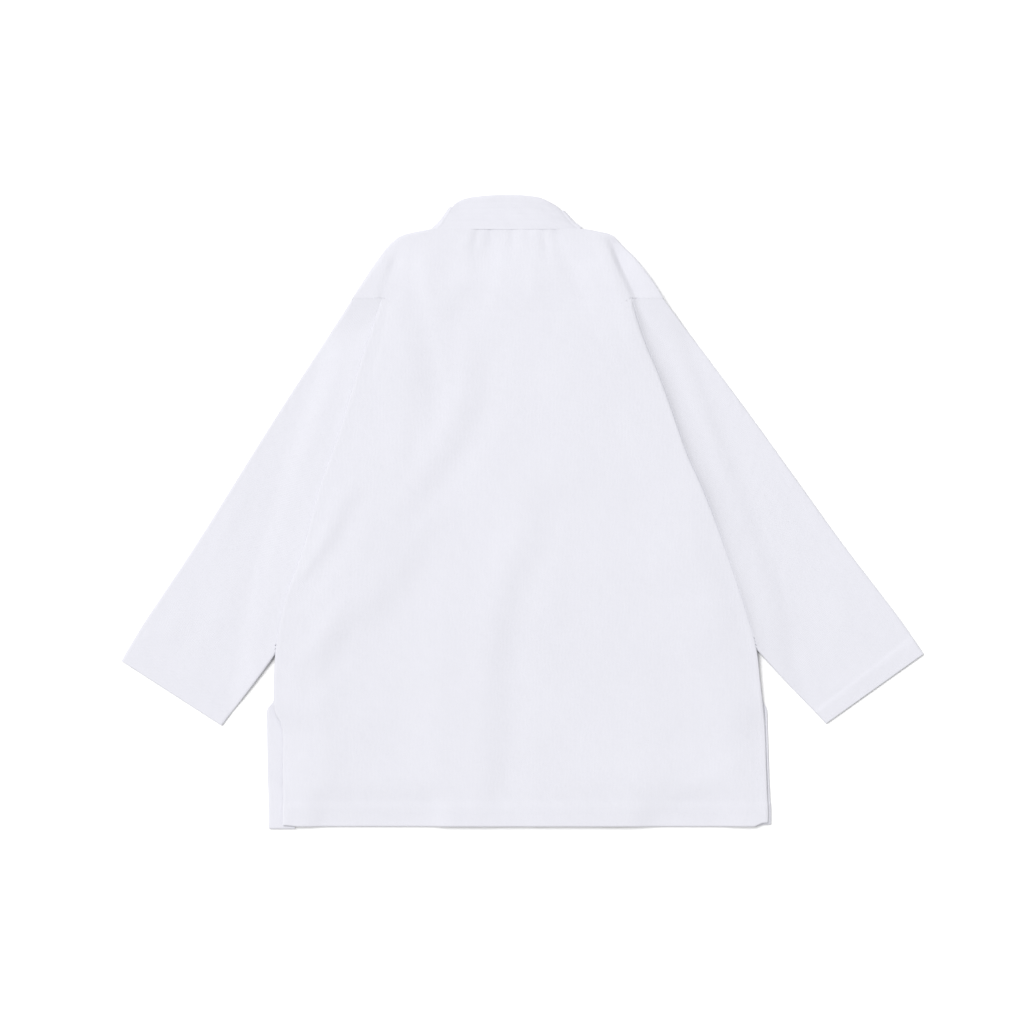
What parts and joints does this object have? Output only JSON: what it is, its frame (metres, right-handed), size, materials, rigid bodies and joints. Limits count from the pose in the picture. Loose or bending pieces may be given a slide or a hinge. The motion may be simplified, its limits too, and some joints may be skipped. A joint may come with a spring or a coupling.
{
  "type": "jiu-jitsu jacket",
  "caption": "Wrap-front martial arts jacket in white pearl-weave cloth, lying flat back side up with straight sleeves swung down, quilted collar band and vented skirt.",
  "frame": {"origin": "on the surface the jacket lies on, under the middle of its overall outline", "axes": "+Y from hem to collar, +Z away from the surface it lies on, -X towards the wearer's left sleeve"},
  "size_m": [1.044, 0.8242, 0.019],
  "materials": {
    "pearl_weave": "matt white pearl weave",
    "collar_band": "matt white twill with rows of stitching"
  },
  "bodies": {
    "root": {"back_panel": "pearl_weave", "front_left": "pearl_weave", "front_right": "pearl_weave", "sleeve_left": "pearl_weave", "sleeve_right": "pearl_weave", "neck_band": "collar_band", "lapel_left": "collar_band", "lapel_right": "collar_band"}
  },
  "joints": []
}
